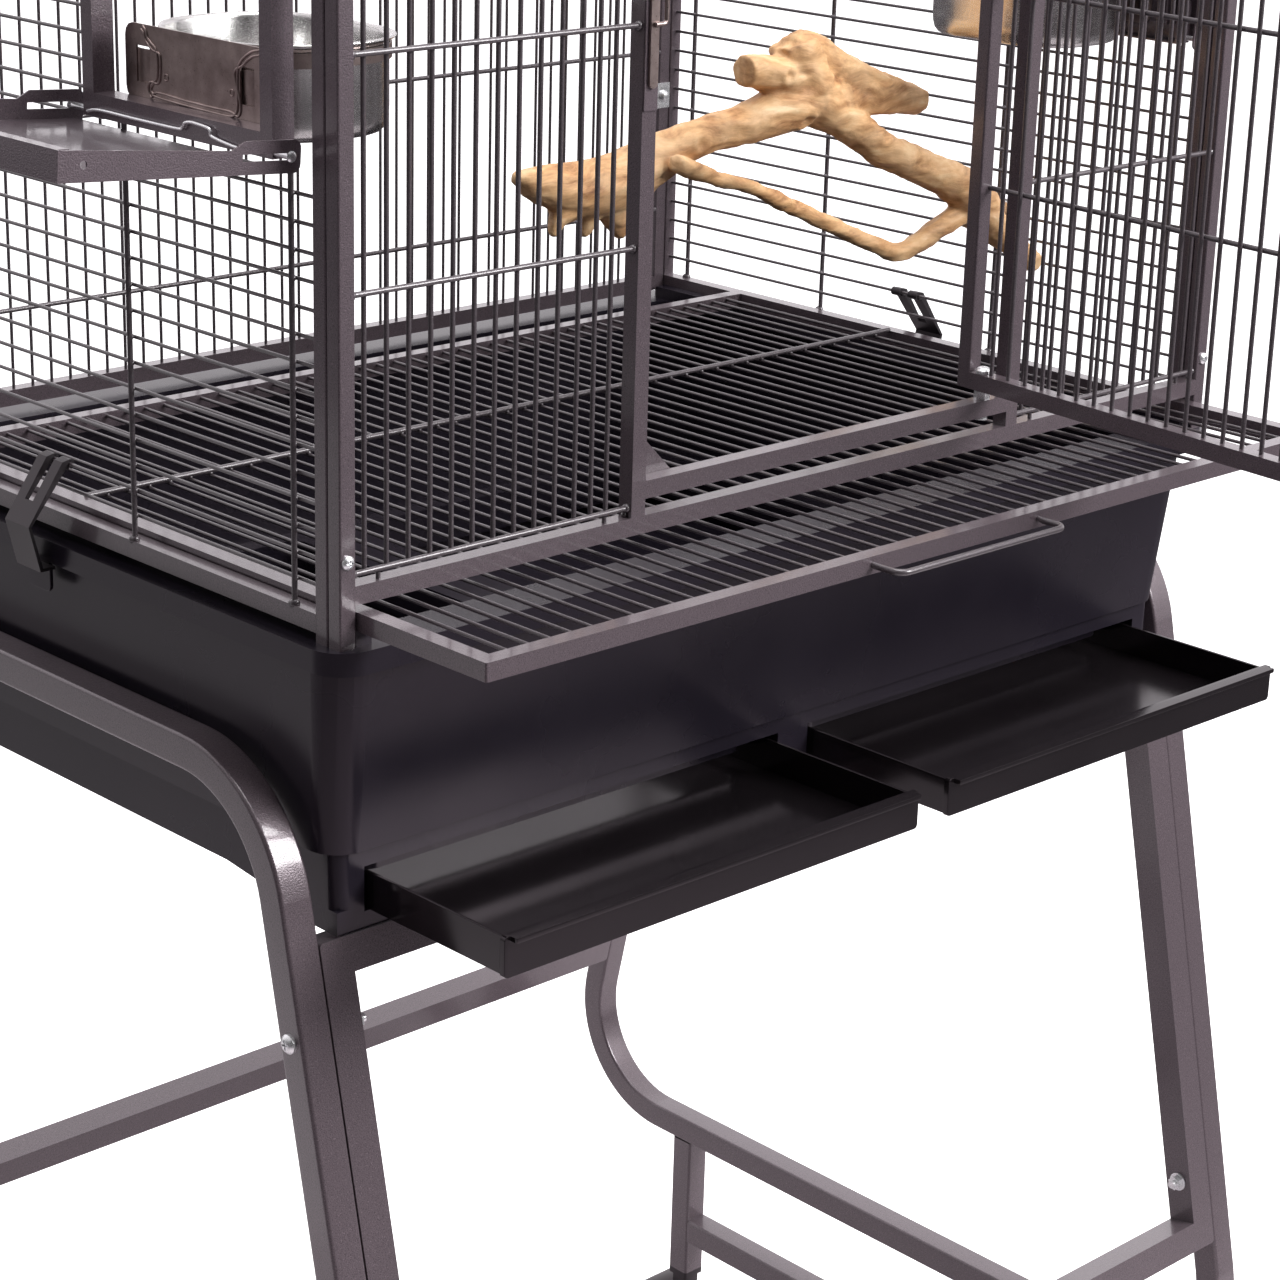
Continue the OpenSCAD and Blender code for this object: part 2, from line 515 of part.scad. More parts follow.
// ---- front door ----------------------------------------------------------
piv_x = 586;
piv_y = 6;
leaf_x0 = jl + T + door_gap;      // free edge, closed
leaf_x1 = jr - 1.2;               // hinge edge, closed
leaf_z0 = 41.5;
leaf_z1 = lintel_z - 6.5;
module leaf() translate([piv_x, piv_y, 0]) rotate([0, 0, door_open]) translate([-piv_x, -piv_y, 0]) children();
module door_frame() color(grey) leaf() difference() {
    union() {
        for (x = [leaf_x0, leaf_x1 - T]) translate([x + T / 2, T / 2, leaf_z0]) linear_extrude(leaf_z1 - leaf_z0) polygon(rsq(T, T, 1.3));
        for (z = [leaf_z0, leaf_z1 - T]) translate([leaf_x0 + T - 1, 0, z]) cube([leaf_x1 - leaf_x0 - 2 * T + 2, T, T]);
    }
    for (x = [leaf_x0, leaf_x1 - T]) translate([x + T / 2, T / 2, leaf_z0 + 1]) linear_extrude(leaf_z1 - leaf_z0 - 2) square(T - 2, center = true);
    for (z = [leaf_z0, leaf_z1 - T]) translate([leaf_x0 + T + 0.5, 1, z + 1]) cube([leaf_x1 - leaf_x0 - 2 * T - 1, T - 2, T - 2]);
    translate([piv_x, piv_y, leaf_z0 - 5]) cylinder(h = leaf_z1 - leaf_z0 + 10, d = 5.1, $fn = 32);
}
module door_bars() color(grey) leaf() {
    n = 19;
    a = leaf_x0 + T;
    b = leaf_x1 - T;
    p = (b - a) / (n + 1);
    for (i = [1:n]) rod_z([a + i * p, T / 2, leaf_z0 + T + 0.05], leaf_z1 - leaf_z0 - 2 * T - 0.1, bar_d);
    for (z = [185, 322, 460]) rod_x([a + 0.05, T / 2 - (bar_d + weld_d) / 2 - weld_gap, z], b - a - 0.1, weld_d);
}
// bolts fixed in the sill and the lintel, on which the leaf turns
module door_pivot_bolts() color(zinc) for (m = [0, 1])
    translate([piv_x, piv_y, m * (sill_z + lintel_z + T)]) mirror([0, 0, m]) {
        translate([0, 0, sill_z - 3.05]) pan_head(9.5, 3);
        translate([0, 0, sill_z]) cylinder(h = leaf_z0 + T + 1 - sill_z, d = 5, $fn = 32);
        translate([0, 0, leaf_z0 + T + 0.3]) pan_head(11, 4.6);
        difference() {
            translate([0, 0, sill_z + T + 0.05]) cylinder(h = 5.6, d = 11.6, $fn = 6);
            translate([0, 0, sill_z]) cylinder(h = 40, d = 5, $fn = 32);
        }
    }
// latch: a strip slides up and down in straps on the left jamb, and its peg
// drops through an eye on the leaf. Drawn lifted, so that the leaf is free.
eye_x = leaf_x0 + 5.7;
module door_latch_plate() color(dark) translate([jl, 0, 0]) {
    translate([0.4, -1.3, 273]) cube([T - 0.8, 1.25, 163]);
    for (z = [360, 424]) difference() {
        translate([0.9, -5, z]) cube([T - 1.8, 3.7, 6]);
        translate([2.3, -3.9, z - 1]) cube([T - 4.6, 2.6, 8]);
    }
}
module door_latch_slider() color([0.42, 0.40, 0.39]) {
    translate([jl + 2.6, -3.55, 0]) difference() {
        union() {
            translate([0, 0, 290]) cube([6.8, 1.9, 150]);
            translate([3.4, 1.9, 290.2]) rotate([90, 0, 0]) cylinder(h = 1.9, r = 3.4, $fn = 48);
        }
    }
    // arm and locking peg
    translate([jl + 3.4, -7.4, 408]) cube([eye_x - jl - 3.4 + 2.5, 3.9, 3]);
    translate([eye_x, -5.4, 396]) cylinder(h = 13, d = 5, $fn = 32);
    // wire pull
    translate([jl + 4.5, -5, 326]) rotate([0, 90, 0]) cylinder(h = 6.5, d = 3, $fn = 24);
    translate([jl + 4.5, -5, 350]) rotate([0, 90, 0]) cylinder(h = 6.5, d = 3, $fn = 24);
    translate([jl + 14, -5, 329]) cylinder(h = 18, d = 3, $fn = 24);
    translate([jl + 11, -5, 329]) rotate([90, 0, 0]) rotate([0, 0, -90]) rotate_extrude(angle = 90, $fn = 48) translate([3, 0]) circle(d = 3, $fn = 24);
    translate([jl + 11, -5, 347]) rotate([90, 0, 0]) rotate_extrude(angle = 90, $fn = 48) translate([3, 0]) circle(d = 3, $fn = 24);
}
module door_catch_eye() color(zinc) leaf() difference() {
    union() {
        translate([leaf_x0 + 1, -9.6, 391.5]) cube([9.6, 9.55, 2]);
        translate([leaf_x0 + 1, -1.25, 378]) cube([9.6, 1.2, 15]);
    }
    translate([eye_x, -5.4, 380]) cylinder(h = 30, d = 6.2, $fn = 32);
}

// ---- feeder stations ----------------------------------------------------
fx = [-9.5, 6.2];         // outer and inner faces of the feeder frame
module feeder_frame_geo() color(dark) difference() {
    translate([fx[0], fo_y[0], fo_z[0]]) cube([fx[1] - fx[0], fo_y[1] - fo_y[0], fo_z[1] - fo_z[0]]);
    translate([-20, fo_y[0] + 11.5, fo_z[0] + 14.5]) cube([40, fo_y[1] - fo_y[0] - 23, fo_z[1] - fo_z[0] - 26.5]);
    // folded from sheet: the members are open at the back
    for (y = [fo_y[0] + 1.2, fo_y[1] - 10.3]) translate([fx[0] + 1.2, y, fo_z[0] + 1.2]) cube([30, 9.1, fo_z[1] - fo_z[0] - 2.4]);
    for (z = [[fo_z[0] + 1.2, 12.1], [fo_z[1] - 10.8, 9.6]]) translate([fx[0] + 1.2, fo_y[0] + 1.2, z[0]]) cube([30, fo_y[1] - fo_y[0] - 2.4, z[1]]);
    for (y = [fo_y[0] - 5, fo_y[1] - 5]) translate([tp[0], y, tp[1]]) rotate([-90, 0, 0]) cylinder(h = 10, d = 4.06, $fn = 32);
}
module feeder_frame_left() feeder_frame_geo();
module feeder_frame_right() right_side() feeder_frame_geo();

// landing tray: a pan hinged at the bottom of the opening
tp = [-7, 265];           // hinge line, x and z
tray_l = 156.5;
tray_shut = 85.5;        // the lip then rests on the frame's uprights
ty = [35, 256];           // across the side flanges
module tray_at(a) translate([tp[0], 0, tp[1]]) rotate([0, a, 0]) children();
// modelled folded down: it runs from the hinge towards -X
function nose(r, x, z, a) = [for (i = [0:5]) [x + r * cos(a + i * 18), z + r * sin(a + i * 18)]];
module tray_geo() color(dark) difference() {
    union() {
        // side flanges, deeper and rounded at the hinge
        for (y = [ty[0], ty[1] - 1.4]) translate([0, y + 1.4, 0]) rotate([90, 0, 0]) linear_extrude(1.4)
            polygon(concat([[-tray_l, -9.6]], nose(5, 2.6, -4.6, -90), nose(5, 2.6, 4.6, 0), [[-32, 9.6], [-41, 4.4], [-tray_l, 8.4]]));
        translate([-tray_l, ty[0], -9.6]) cube([tray_l + 2, ty[1] - ty[0], 1.4]);
        translate([-tray_l, ty[0], -9.6]) cube([1.4, ty[1] - ty[0], 18]);
        // rolled lip at the outer end and folded edges on the flanges
        translate([-tray_l, ty[0] + 3, 7]) cube([9, ty[1] - ty[0] - 6, 1.4]);
    }
    // slots beside the hinge, one in each flange; the pin lies at their inner end
    translate([-33.5, ty[0] - 5, -2.05]) cube([33.5, 300, 4.1]);
    translate([0, ty[0] - 5, 0]) rotate([-90, 0, 0]) cylinder(h = 300, d = 4.1, $fn = 32);
    translate([-140, ty[0] - 5, 0]) rotate([-90, 0, 0]) cylinder(h = 300, d = 4.6, $fn = 32);
}
module landing_tray_left() tray_at(tray_tilt) tray_geo();
module landing_tray_right() right_side() tray_at(tray_shut) tray_geo();
module tray_pins_geo() color(zinc) {
    // hinge pins, riveted into the sides of the feeder frame
    for (m = [0, 1]) translate([0, m * (ty[0] + ty[1]), 0]) mirror([0, m, 0]) translate([tp[0], 0, tp[1]]) {
        translate([0, ty[0] - 0.5, 0]) rotate([-90, 0, 0]) cylinder(h = fo_y[0] + 3.6 - ty[0], d = 4, $fn = 32);
        translate([0, ty[0] - 0.5, 0]) rotate([90, 0, 0]) pan_head(6.6, 1.8);
    }
}
module tray_pins() { tray_pins_geo(); right_side() tray_pins_geo(); }

// bowl holder: plate with two slots, and a band that carries the bowl by its rim
module oval(x0, x1, y0, y1, z0, h, r) slab(x0, y0, x1, y1, z0, h, r, 12);
module holder_geo() color([0.45, 0.42, 0.40]) difference() {
    union() {
        translate([6.6, 145, 296.75]) rotate([90, 0, 90]) linear_extrude(1.2) polygon(rsq(143.5, 46.5, 8));
        difference() {
            oval(7.6, 125.4, 73.4, 218.1, 305.5, 9, 50);
            oval(9.1, 124.2, 74.6, 216.9, 300, 20, 48.8);
        }
    }
    for (y = [86.5, 191]) translate([0, y, 285]) cube([20, 14, 22]);
}
module bowl_holder_left() holder_geo();
module bowl_holder_right() right_side() holder_geo();
module bowl_geo() color([0.8, 0.81, 0.83]) difference() {
    union() {
        oval(13.6, 119.8, 79, 212.5, 260.4, 6, 44);
        oval(9.6, 123.7, 75.1, 216.4, 265.4, 54, 48);
        oval(8.7, 128.2, 70.8, 220.7, 317.6, 2, 52.5);
    }
    oval(14.6, 118.8, 80, 211.5, 261.4, 6, 43);
    oval(10.5, 122.8, 76, 215.5, 266.4, 60, 47);
}
module bowl_left() bowl_geo();
module bowl_right() right_side() bowl_geo();

// ---- clips between the cage and the tub ----------------------------------
clip_y = 304.7;
module clip_geo() color([0.12, 0.11, 0.12]) translate([0, clip_y - 14, 0]) {
    // two prongs hook over the second side wire; the strap stands out over the
    // rail and turns back in to grip under the rim
    hz = 7.3 + side_pitch;
    difference() {
        union() {
            translate([wx_in, 0, hz]) rotate([-90, 0, 0]) cylinder(h = 28, d = wire_d + 4.4, $fn = 48);
            translate([0, 28, 0]) rotate([90, 0, 0]) linear_extrude(28) polygon([
                [wx_in - 1, hz + 3.2], [wx_in - 6, hz + 2.2], [-28.4, -13.4], [-20.4, -45.4], [-9, -45.4], [-9, -43.2], [-18.2, -43.2],
                [-26.2, -13.6], [wx_in - 3.6, hz - 3.2], [wx_in, hz - 3.2]]);
        }
        translate([wx_in, -5, hz]) rotate([-90, 0, 0]) cylinder(h = 40, d = wire_d + 0.16, $fn = 48);
        translate([wx_in - 0.9, -5, hz - 20]) cube([1.8, 40, 20]);
        translate([wx_in - 0.9, 9.5, hz - 10]) cube([20, 9, 20]);
        // slot between the prongs
        translate([-18.5, 9.5, -30]) cube([30, 9, 70]);
    }
}
module tub_clip_left() clip_geo();
module tub_clip_right() right_side() clip_geo();

// ---- perch ---------------------------------------------------------------
module limb(p, q, r0, r1) {
    d = q - p;
    translate(p) rotate([0, acos(d[2] / norm(d)), atan2(d[1], d[0])]) cylinder(h = norm(d), r1 = r0, r2 = r1, $fn = 28);
}
module knot(p, r) translate(p) rotate([40, 25, 0]) sphere(r = r, $fn = 28);
// the perch stands on a hanger bolt through the right side panel
pz = 7.3 + side_pitch * 5.5;
py = 206;
function pp(x, z, dy = 0) = [x, py + (W - x) * 0.06 + dy, z];
module perch() color([0.72, 0.56, 0.38]) difference() {
    union() {
        limb(pp(392, 170), pp(505, 181), 27, 18);
        knot(pp(388, 168), 29);
        limb(pp(490, 178), pp(590, 217), 19.5, 17);
        limb(pp(575, 211), pp(660, 246), 17.6, 24);
        knot(pp(642, 238), 29);
        limb(pp(642, 238), pp(622, 276), 23, 15);
        limb(pp(630, 246), pp(800, 122), 23.5, 18);
        knot(pp(788, 131), 23);
        limb(pp(770, 138), pp(840, pz - 2), 17, 19);
        limb(pp(470, 176), pp(604, 139), 8, 8.4);
        limb(pp(592, 144), pp(706, 96), 7.9, 8.2);
        limb(pp(692, 97), pp(784, 128), 7.7, 9);
    }
    translate([W - 42, py, pz]) rotate([0, 90, 0]) cylinder(h = 60, d = 7.8, $fn = 32);
    translate([W - wx_in - wr - 2.15, py - 60, pz - 60]) cube([60, 120, 120]);
}
module perch_bolt() color(zinc) {
    rod_x([W - 39, py, pz], 52, 7.7);
    // wing nut outside
    translate([W + 2.1, py, pz]) rotate([0, 90, 0]) difference() {
        union() {
            cylinder(h = 8, d = 13, $fn = 32);
            translate([-17, -1.5, 2]) cube([34, 3, 10]);
        }
        translate([0, 0, -1]) cylinder(h = 20, d = 7.7, $fn = 32);
    }
}
module perch_washers() color(zinc) for (x = [W - wx_in - wr - 1.9, W + 0.15]) translate([x, py, pz]) rotate([0, 90, 0]) difference() {
    cylinder(h = 1.8, d = 38, $fn = 48);
    translate([0, 0, -1]) cylinder(h = 5, d = 7.9, $fn = 32);
}

place() stand_side_frame_left();
place() stand_side_frame_right();
place() stand_foot_frame_left();
place() stand_foot_frame_right();
place() stand_front_frame();
place() stand_rear_frame();
place() stand_bolts();
place() stand_nuts();
place() caster_sockets();
place() caster_fork_front_left();
place() caster_fork_front_right();
place() caster_fork_rear_left();
place() caster_fork_rear_right();
place() caster_wheel_front_left();
place() caster_wheel_front_right();
place() caster_wheel_rear_left();
place() caster_wheel_rear_right();
place() tub();
place() tub_clip_left();
place() tub_clip_right();
place() drawer_left();
place() drawer_right();
place() grate_frame();
place() grate_wires();
place() grate_handle();
place() front_frame();
place() front_bars_left();
place() front_bars_right();
place() front_bars_over_door();
place() side_frame_left();
place() side_wires_left_low();
place() side_wires_left_high();
place() side_frame_right();
place() side_wires_right_low();
place() side_wires_right_high();
place() rear_frame();
place() rear_bars();
place() roof_frame();
place() roof_bars();
place() panel_screws();
place() panel_clamps();
place() door_frame();
place() door_bars();
place() door_pivot_bolts();
place() door_latch_plate();
place() door_latch_slider();
place() door_catch_eye();
place() feeder_frame_left();
place() feeder_frame_right();
place() landing_tray_left();
place() landing_tray_right();
place() tray_pins();
place() bowl_holder_left();
place() bowl_holder_right();
place() bowl_left();
place() bowl_right();
place() perch();
place() perch_bolt();
place() perch_washers();
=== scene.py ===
"""Bird cage on a bent-tube stand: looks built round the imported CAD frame."""
import json
import math
import random

import bmesh
import bpy
from mathutils import Matrix, Vector, noise


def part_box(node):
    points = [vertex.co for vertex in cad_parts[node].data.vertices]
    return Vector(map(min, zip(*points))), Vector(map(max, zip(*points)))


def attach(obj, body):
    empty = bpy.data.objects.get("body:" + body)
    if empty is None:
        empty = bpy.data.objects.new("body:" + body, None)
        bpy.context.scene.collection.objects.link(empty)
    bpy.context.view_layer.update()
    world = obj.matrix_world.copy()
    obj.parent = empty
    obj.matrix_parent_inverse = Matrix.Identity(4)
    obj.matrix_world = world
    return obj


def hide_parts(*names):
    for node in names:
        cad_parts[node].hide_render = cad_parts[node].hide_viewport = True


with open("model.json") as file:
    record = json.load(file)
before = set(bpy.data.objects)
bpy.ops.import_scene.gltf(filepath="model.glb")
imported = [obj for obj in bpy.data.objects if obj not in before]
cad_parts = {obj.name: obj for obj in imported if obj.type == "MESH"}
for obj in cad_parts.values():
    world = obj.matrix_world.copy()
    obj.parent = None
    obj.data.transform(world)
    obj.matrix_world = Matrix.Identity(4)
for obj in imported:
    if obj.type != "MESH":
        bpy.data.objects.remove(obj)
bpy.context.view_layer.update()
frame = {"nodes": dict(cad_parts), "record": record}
random.seed(7)

# The CAD is drawn from the cage's front left corner, in mm: o is that corner.
f_lo, f_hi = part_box("front_frame")
O = Vector((f_lo.x, f_lo.y, f_hi.z - 0.751))


def G(x, y, z):
    return O + Vector((x, y, z)) / 1000.0


W, D = 845.0, 600.0
H_TOP = 738.6

# --------------------------------------------------------------- camera
cam_data = bpy.data.cameras.new("camera")
cam_data.sensor_width = 36.0
cam_data.lens = 3094.72 / 1280 * 36.0
cam_data.clip_start = 0.05
cam_data.clip_end = 60
cam = bpy.data.objects.new("camera", cam_data)
bpy.context.scene.collection.objects.link(cam)
yaw, pitch, roll = (math.radians(a) for a in (44.03476, 18.90688, 1.61648))
d = Vector((math.sin(yaw) * math.cos(pitch), math.cos(yaw) * math.cos(pitch), -math.sin(pitch)))
r = Vector((math.cos(yaw), -math.sin(yaw), 0))
u = r.cross(d)
r2 = math.cos(roll) * r + math.sin(roll) * u
u2 = -math.sin(roll) * r + math.cos(roll) * u
m = Matrix.Identity(4)
for i in range(3):
    m[i][0], m[i][1], m[i][2] = r2[i], u2[i], -d[i]
m.translation = G(-1080.8, -1373.9, 581.9)
cam.matrix_world = m
bpy.context.scene.camera = cam

# --------------------------------------------------------------- light
scene = bpy.context.scene
scene.view_settings.view_transform = "Standard"
scene.view_settings.look = "None"
world = bpy.data.worlds.new("studio")
scene.world = world
world.use_nodes = True
nt = world.node_tree
nt.nodes.clear()
out = nt.nodes.new("ShaderNodeOutputWorld")
mix = nt.nodes.new("ShaderNodeMixShader")
path = nt.nodes.new("ShaderNodeLightPath")
white = nt.nodes.new("ShaderNodeBackground")
white.inputs[0].default_value = (1, 1, 1, 1)
white.inputs[1].default_value = 1.0
soft = nt.nodes.new("ShaderNodeBackground")
soft.inputs[0].default_value = (1.0, 0.96, 0.99, 1)
where = nt.nodes.new("ShaderNodeTexCoord")
facing = nt.nodes.new("ShaderNodeVectorMath")
facing.operation = "DOT_PRODUCT"
facing.inputs[1].default_value = (0.62, 0.62, 0.48)
level = nt.nodes.new("ShaderNodeMapRange")
level.inputs[1].default_value, level.inputs[2].default_value = -0.45, 0.55
level.inputs[3].default_value, level.inputs[4].default_value = 0.03, 1.25
nt.links.new(where.outputs["Generated"], facing.inputs[0])
nt.links.new(facing.outputs["Value"], level.inputs[0])
nt.links.new(level.outputs[0], soft.inputs[1])
nt.links.new(path.outputs["Is Camera Ray"], mix.inputs[0])
nt.links.new(soft.outputs[0], mix.inputs[1])
nt.links.new(white.outputs[0], mix.inputs[2])
nt.links.new(mix.outputs[0], out.inputs[0])


def area(name, at, to, size, power, tint=(1, 1, 1)):
    data = bpy.data.lights.new(name, "AREA")
    data.shape = "RECTANGLE"
    data.size, data.size_y = size
    data.energy = power
    data.color = tint
    ob = bpy.data.objects.new(name, data)
    scene.collection.objects.link(ob)
    ob.location = at
    ob.rotation_euler = (to - at).to_track_quat("-Z", "Y").to_euler()
    return ob


mid = G(420, 250, -60)
area("key", mid + Vector((1.5, -2.9, 1.9)), mid, (1.8, 1.8), 176)
area("top", mid + Vector((0.1, -0.3, 3.4)), mid, (2.6, 2.6), 98)
area("left", mid + Vector((-3.2, -0.2, 1.2)), mid, (1.6, 2.2), 2)
sheen = area("sheen", G(-620, 1250, -700), G(0, 300, -100), (1.3, 0.9), 1.3)
sheen.visible_diffuse = False
sheen.visible_camera = False

# --------------------------------------------------------------- materials


def new_mat(name):
    mt = bpy.data.materials.new(name)
    mt.use_nodes = True
    t = mt.node_tree
    t.nodes.clear()
    o = t.nodes.new("ShaderNodeOutputMaterial")
    b = t.nodes.new("ShaderNodeBsdfPrincipled")
    t.links.new(b.outputs[0], o.inputs[0])
    c = t.nodes.new("ShaderNodeTexCoord")
    return mt, t, b, c.outputs["Object"]


def node(t, kind, **kw):
    n = t.nodes.new(kind)
    for k, v in kw.items():
        if k in n.inputs:
            n.inputs[k].default_value = v
        else:
            setattr(n, k, v)
    return n


def tex_noise(t, co, scale, detail=2.0, rough=0.5, stretch=None):
    if stretch:
        mp = node(t, "ShaderNodeMapping")
        mp.inputs["Scale"].default_value = stretch
        t.links.new(co, mp.inputs[0])
        co = mp.outputs[0]
    n = node(t, "ShaderNodeTexNoise", Scale=scale, Detail=detail, Roughness=rough)
    t.links.new(co, n.inputs["Vector"])
    return n.outputs[0]


def ramp(t, val, stops):
    n = node(t, "ShaderNodeValToRGB")
    els = n.color_ramp.elements
    while len(els) < len(stops):
        els.new(0.5)
    for e, (p, c) in zip(els, stops):
        e.position = p
        e.color = (*c, 1) if len(c) == 3 else c
    t.links.new(val, n.inputs[0])
    return n.outputs[0]


def remap(t, val, a, b, c, e):
    n = node(t, "ShaderNodeMapRange")
    n.inputs[1].default_value, n.inputs[2].default_value = a, b
    n.inputs[3].default_value, n.inputs[4].default_value = c, e
    t.links.new(val, n.inputs[0])
    return n.outputs[0]


def bump(t, b, height, dist, strength=1.0, after=None):
    n = node(t, "ShaderNodeBump")
    n.inputs["Strength"].default_value = strength
    n.inputs["Distance"].default_value = dist
    t.links.new(height, n.inputs["Height"])
    if after is not None:
        t.links.new(after, n.inputs["Normal"])
    t.links.new(n.outputs[0], b.inputs["Normal"])
    return n.outputs[0]


def mix_col(t, fac, a, b, mode="MIX"):
    n = node(t, "ShaderNodeMix", data_type="RGBA", blend_type=mode)
    for sock, v in ((n.inputs[0], fac), (n.inputs[6], a), (n.inputs[7], b)):
        if hasattr(v, "links"):
            t.links.new(v, sock)
        else:
            sock.default_value = v if not isinstance(v, tuple) or len(v) != 3 else (*v, 1)
    return n.outputs[2]


def hammertone(name, light, dark, metallic=0.35, rough=(0.26, 0.40), scale=1000.0):
    mt, t, b, co = new_mat(name)
    v = node(t, "ShaderNodeTexVoronoi", feature="SMOOTH_F1", Scale=scale)
    v.inputs["Smoothness"].default_value = 0.55
    t.links.new(co, v.inputs["Vector"])
    fine = tex_noise(t, co, 2300, 2)
    broad = tex_noise(t, co, 14, 3)
    col = ramp(t, v.outputs["Distance"], [(0.08, dark), (0.42, light)])
    spark = tex_noise(t, co, 1150, 1, 0.4)
    col = mix_col(t, remap(t, spark, 0.62, 0.74, 0.0, 0.45), col, tuple(min(1, x * 2.4) for x in light))
    col = mix_col(t, remap(t, broad, 0.3, 0.7, 0.0, 0.22), col, tuple(x * 0.72 for x in light))
    t.links.new(col, b.inputs["Base Color"])
    t.links.new(remap(t, fine, 0.25, 0.75, rough[0], rough[1]), b.inputs["Roughness"])
    b.inputs["Metallic"].default_value = metallic
    b.inputs["Specular IOR Level"].default_value = 0.5
    b.inputs["Coat Weight"].default_value = 0.85
    b.inputs["Coat Roughness"].default_value = 0.12
    n1 = bump(t, b, v.outputs["Distance"], 0.00022, 0.6)
    bump(t, b, fine, 0.00004, 0.5, n1)
    return mt


def moulded(name, base, rough, grain=0.00003, scale=2600, spec=0.5, cloud=0.35, tint=(1.0, 0.86, 0.94, 1)):
    mt, t, b, co = new_mat(name)
    broad = tex_noise(t, co, 5, 4, 0.6)
    fine = tex_noise(t, co, scale, 2)
    col = mix_col(t, remap(t, broad, 0.3, 0.75, 0, cloud), base, tuple(min(1, x * 1.9 + 0.004) for x in base))
    t.links.new(col, b.inputs["Base Color"])
    t.links.new(remap(t, broad, 0.3, 0.7, rough[0], rough[1]), b.inputs["Roughness"])
    b.inputs["Specular IOR Level"].default_value = spec
    b.inputs["Specular Tint"].default_value = tint
    bump(t, b, fine, grain, 0.6)
    return mt


def metal(name, a, c, rough, scale=60, stretch=(1, 1, 1), scratch=0.00002, metallic=1.0):
    mt, t, b, co = new_mat(name)
    broad = tex_noise(t, co, scale, 5, 0.65, stretch)
    fine = tex_noise(t, co, scale * 22, 3, 0.6, stretch)
    t.links.new(ramp(t, broad, [(0.3, a), (0.7, c)]), b.inputs["Base Color"])
    t.links.new(remap(t, fine, 0.25, 0.75, rough[0], rough[1]), b.inputs["Roughness"])
    b.inputs["Metallic"].default_value = metallic
    bump(t, b, fine, scratch, 0.5)
    return mt


M_tube = hammertone("hammertone_paint", (0.122, 0.095, 0.109), (0.044, 0.034, 0.039))
M_wire = hammertone("hammertone_wire", (0.082, 0.068, 0.076), (0.040, 0.033, 0.037), 0.3, (0.32, 0.46))
M_tray = hammertone("hammertone_sheet", (0.150, 0.118, 0.135), (0.066, 0.052, 0.060), 0.4)
M_tub = moulded("tub_plastic", (0.0120, 0.0098, 0.0150), (0.20, 0.33), 0.00002, spec=0.40)
M_drawer = moulded("drawer_plastic", (0.0056, 0.0044, 0.0052), (0.10, 0.20), 0.000008, 3000, spec=0.45)
M_black = moulded("black_plastic", (0.013, 0.012, 0.013), (0.35, 0.5))
M_wheel = moulded("wheel_plastic", (0.016, 0.014, 0.014), (0.4, 0.6), 0.00005, 1800)
M_zinc = metal("zinc_plate", (0.80, 0.81, 0.83), (0.95, 0.95, 0.96), (0.22, 0.36), 120, metallic=0.85)
M_galv = metal("galvanised_sheet", (0.24, 0.185, 0.175), (0.46, 0.37, 0.35), (0.24, 0.46), 48, (1, 1, 1), 0.00004)
M_steel = metal("stainless", (0.66, 0.65, 0.64), (0.80, 0.79, 0.78), (0.16, 0.32), 30, (1, 1, 14), 0.000015)


def wood():
    mt, t, b, co = new_mat("java_wood")
    warp = node(t, "ShaderNodeTexNoise", Scale=9.0, Detail=3.0)
    t.links.new(co, warp.inputs["Vector"])
    add = node(t, "ShaderNodeVectorMath", operation="MULTIPLY_ADD")
    add.inputs[1].default_value = (0.06, 0.06, 0.06)
    t.links.new(warp.outputs["Color"], add.inputs[0])
    t.links.new(co, add.inputs[2])
    grain = tex_noise(t, add.outputs[0], 70, 5, 0.62, (0.32, 1.0, 1.5))
    patches = tex_noise(t, co, 26, 4, 0.6)
    specks = tex_noise(t, co, 260, 3, 0.7)
    col = ramp(t, grain, [(0.26, (0.22, 0.092, 0.036)), (0.40, (0.52, 0.27, 0.118)), (0.55, (0.75, 0.445, 0.215)), (0.76, (0.90, 0.66, 0.39))])
    col = mix_col(t, remap(t, patches, 0.45, 0.72, 0, 0.55), col, (0.84, 0.60, 0.36))
    col = mix_col(t, remap(t, specks, 0.62, 0.78, 0, 0.35), col, (0.30, 0.145, 0.065))
    t.links.new(col, b.inputs["Base Color"])
    t.links.new(remap(t, grain, 0.3, 0.7, 0.62, 0.45), b.inputs["Roughness"])
    b.inputs["Specular IOR Level"].default_value = 0.35
    n1 = bump(t, b, grain, 0.0016, 0.5)
    bump(t, b, specks, 0.0003, 0.4, n1)
    return mt


M_wood = wood()

by_slot = {
    "hammertone": M_tube,
    "zinc": M_zinc,
    "galvanised": M_galv,
    "stainless": M_steel,
    "black_plastic": M_black,
    "tub_plastic": M_tub,
    "drawer_plastic": M_drawer,
    "wheel": M_wheel,
    "java_wood": M_wood,
}
slot_of = {s["node"]: s.get("material_slot") for s in frame["record"]["subparts"]}
wire_nodes = [n for n in frame["nodes"] if "wires" in n or "bars" in n or n == "grate_handle"]


